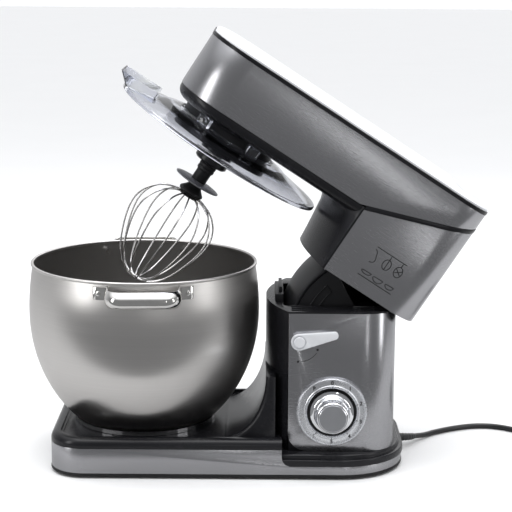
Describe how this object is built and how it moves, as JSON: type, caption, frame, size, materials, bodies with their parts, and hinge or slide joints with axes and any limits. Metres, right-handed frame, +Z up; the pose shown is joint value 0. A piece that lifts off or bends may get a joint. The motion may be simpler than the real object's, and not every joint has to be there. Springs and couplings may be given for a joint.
{
  "type": "stand mixer",
  "caption": "Tilt-head stand mixer with steel bowl, planetary whisk, clear splash guard, speed dial and mains cord.",
  "frame": {"origin": "on the worktop, at the middle of the mixer's footprint without its cord", "axes": "+X to the mixer's rear, +Y away from the speed dial, +Z up; the bowl is towards -X"},
  "size_m": [0.7745, 0.3862, 0.5539],
  "materials": {
    "brushed_steel": "fine horizontal grain, satin",
    "bowl_steel": "satin polished outside, softly brushed inside",
    "wire_steel": "bright drawn wire",
    "spun_steel": "spun in circles",
    "polished_chrome": "mirror polished",
    "black_gloss": "glossy moulded",
    "black_matte": "fine matte",
    "silver_plastic": "pale silver paint, satin",
    "grey_plastic": "moulded, satin",
    "clear_plastic": "clear with a faint blue edge",
    "soft_rubber": "soft matte",
    "cord_rubber": "smooth, slightly shiny",
    "machine_iron": "machined, oiled",
    "cast_alloy": "die-cast",
    "gear_plastic": "natural engineering plastic",
    "board_green": "lacquered board"
  },
  "bodies": {
    "mixer": {"base_band": "brushed_steel", "base_deck": "black_gloss", "bottom_cover": "black_matte", "rubber_foot_1": "soft_rubber", "rubber_foot_2": "soft_rubber", "rubber_foot_3": "soft_rubber", "rubber_foot_4": "soft_rubber", "column_plinth": "black_gloss", "column_wrap": "brushed_steel", "column_frame": "black_gloss", "hinge_pin": "machine_iron", "dial_bezel": "polished_chrome", "dial_well": "black_matte", "speed_switch": "black_matte", "control_board": "board_green", "cord_gland": "cord_rubber", "power_cord": "cord_rubber", "cord_coil": "cord_rubber", "cord_tail": "cord_rubber", "cord_tie": "grey_plastic", "mains_plug": "cord_rubber"},
    "speed_knob": {"speed_knob": "polished_chrome", "knob_face": "spun_steel"},
    "lock_lever": {"lock_lever": "silver_plastic", "lever_cap": "silver_plastic"},
    "head": {"head_housing": "black_gloss", "head_wrap": "brushed_steel", "head_trim": "black_gloss", "top_cover": "silver_plastic", "slope_trim": "black_gloss", "neck_frame": "black_gloss", "neck_panel": "brushed_steel", "chassis_plate": "cast_alloy", "ring_gear": "machine_iron", "drive_belt": "soft_rubber", "motor_can": "machine_iron"},
    "motor": {"motor_rotor": "machine_iron", "motor_pulley": "machine_iron", "cooling_fan": "black_matte"},
    "pulley": {"large_pulley": "cast_alloy", "drive_pinion": "cast_alloy"},
    "carrier": {"planet_carrier": "black_gloss", "main_gear": "gear_plastic"},
    "output": {"output_shaft": "polished_chrome", "planet_gear": "machine_iron"},
    "whisk": {"whisk_hub": "black_matte", "drip_shield": "grey_plastic", "whisk_wires": "wire_steel"},
    "guard": {"splash_guard": "clear_plastic"},
    "lock_ring": {"bowl_lock_ring": "brushed_steel"},
    "bowl": {"bowl_shell": "bowl_steel", "handle_front": "polished_chrome", "handle_rear": "polished_chrome"}
  },
  "joints": [
    {"name": "head_tilt", "type": "hinge", "parent": "mixer", "child": "head", "pos_m": [0.1497, 0, 0.1698], "axis": [0, 1, 0], "range_deg": [-33, 0]},
    {"name": "lever_turn", "type": "hinge", "parent": "mixer", "child": "lock_lever", "pos_m": [0.0577, -0.102, 0.1741], "axis": [0, 1, 0], "range_deg": [0, 60], "stiffness_Nm_per_rad": 0.05},
    {"name": "speed_turn", "type": "hinge", "parent": "mixer", "child": "speed_knob", "pos_m": [0.0992, -0.102, 0.0843], "axis": [0, 1, 0], "range_deg": [-36, 216]},
    {"name": "motor_spin", "type": "hinge", "parent": "head", "child": "motor", "pos_m": [0.15088, 0, 0.27205], "axis": [0.5446, 0, 0.8387], "continuous": true},
    {"name": "pulley_spin", "type": "hinge", "parent": "head", "child": "pulley", "pos_m": [-0.00218, 0, 0.37145], "axis": [0.5446, 0, 0.8387], "continuous": true},
    {"name": "carrier_spin", "type": "hinge", "parent": "head", "child": "carrier", "pos_m": [-0.04746, 0, 0.40086], "axis": [0.5446, 0, 0.8387], "continuous": true},
    {"name": "planet_spin", "type": "hinge", "parent": "carrier", "child": "output", "pos_m": [-0.04746, -0.04, 0.40086], "axis": [0.5446, 0, 0.8387], "continuous": true},
    {"name": "whisk_pull", "type": "slide", "parent": "output", "child": "whisk", "axis": [-0.5446, 0, -0.8387], "range_m": [0, 0.03]},
    {"name": "guard_pull", "type": "slide", "parent": "head", "child": "guard", "axis": [-0.5446, 0, -0.8387], "range_m": [0, 0.025]},
    {"name": "bowl_turn", "type": "hinge", "parent": "mixer", "child": "lock_ring", "pos_m": [-0.1415, 0, 0.0468], "axis": [0, 0, 1], "range_deg": [-25, 0]},
    {"name": "bowl_lift", "type": "slide", "parent": "lock_ring", "child": "bowl", "axis": [0, 0, 1], "range_m": [0, 0.06]}
  ],
  "couplings": [
    {"joint": "pulley_spin", "follows": "motor_spin", "ratio": 0.21429},
    {"joint": "carrier_spin", "follows": "motor_spin", "ratio": -0.042857},
    {"joint": "planet_spin", "follows": "motor_spin", "ratio": 0.16531}
  ]
}
